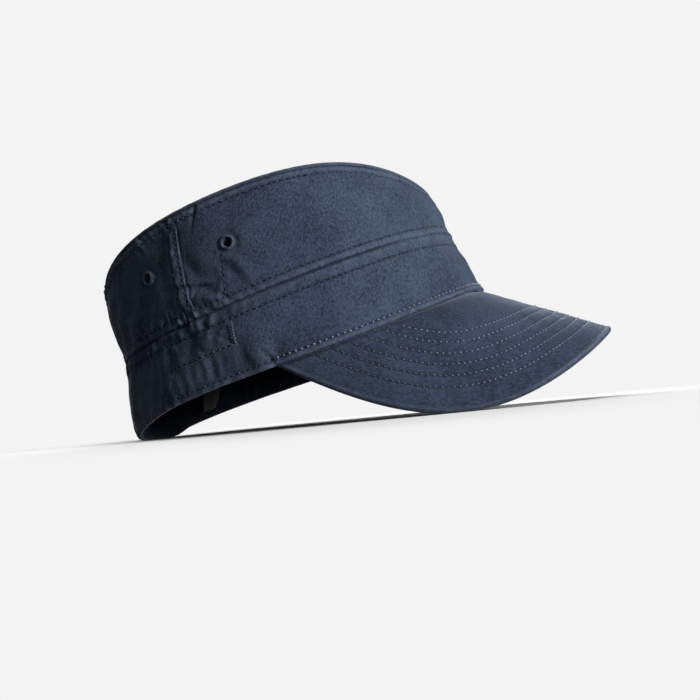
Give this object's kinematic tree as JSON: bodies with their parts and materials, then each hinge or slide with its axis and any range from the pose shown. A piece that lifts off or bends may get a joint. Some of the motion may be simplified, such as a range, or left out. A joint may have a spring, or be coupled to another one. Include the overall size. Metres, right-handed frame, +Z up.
{
  "type": "flat-topped cadet cap",
  "caption": "Soft flat-topped cadet cap in navy cotton twill with a curved stiff peak, a lower band, vent eyelets and side tabs, resting on its rear rim and peak.",
  "frame": {"origin": "middle of the cap's box on the surface that it rests on", "axes": "+Z up, -Y towards the peak, +X towards the wearer's left"},
  "size_m": [0.1884, 0.2628, 0.1231],
  "materials": {
    "twill": "washed navy cotton twill, matt",
    "peak_twill": "washed navy cotton twill over a stiff board, matt",
    "thread": "close navy embroidery thread",
    "label": "plain grey woven tape"
  },
  "bodies": {
    "root": {"crown_top": "twill", "crown_front": "twill", "crown_rear": "twill", "band": "twill", "peak": "peak_twill", "eyelet_front_right": "thread", "eyelet_front_left": "thread", "eyelet_rear_right": "thread", "eyelet_rear_left": "thread", "side_tab_right": "twill", "side_tab_left": "twill", "inner_label": "label"}
  },
  "joints": []
}
